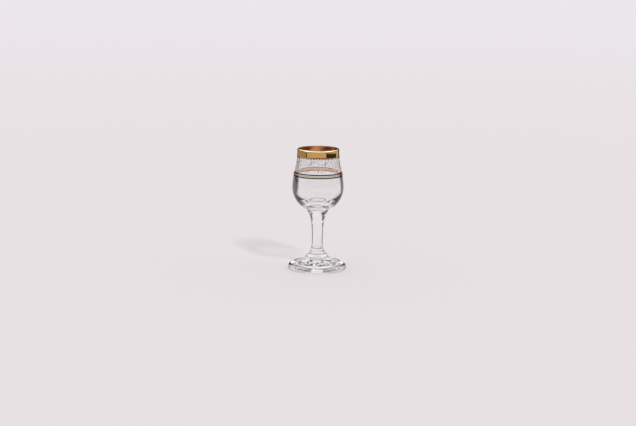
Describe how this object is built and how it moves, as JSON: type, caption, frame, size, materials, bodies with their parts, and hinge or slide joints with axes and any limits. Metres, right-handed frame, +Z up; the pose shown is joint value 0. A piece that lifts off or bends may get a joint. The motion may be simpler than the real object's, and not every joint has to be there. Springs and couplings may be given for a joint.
{
  "type": "vodka glass",
  "caption": "Small stemmed glass for spirits: round belly drawn in to a gilded rim, beaded gold belt, waisted solid stem and heavy domed foot.",
  "frame": {"origin": "centre of the ring that the foot stands on, at the level of the table", "axes": "+Z up along the glass's axis of revolution, towards the rim; X and Y lie in the table plane"},
  "size_m": [0.056, 0.056, 0.1164],
  "materials": {
    "clear_glass": "fire polished",
    "fired_gold": "bright fired gold"
  },
  "bodies": {
    "root": {"foot": "clear_glass", "stem": "clear_glass", "bowl": "clear_glass", "lip_gilding": "fired_gold", "rim_band": "fired_gold", "rim_band_beading": "fired_gold", "belt_upper_line": "fired_gold", "belt_frieze": "fired_gold", "belt_lower_line": "fired_gold"}
  },
  "joints": []
}
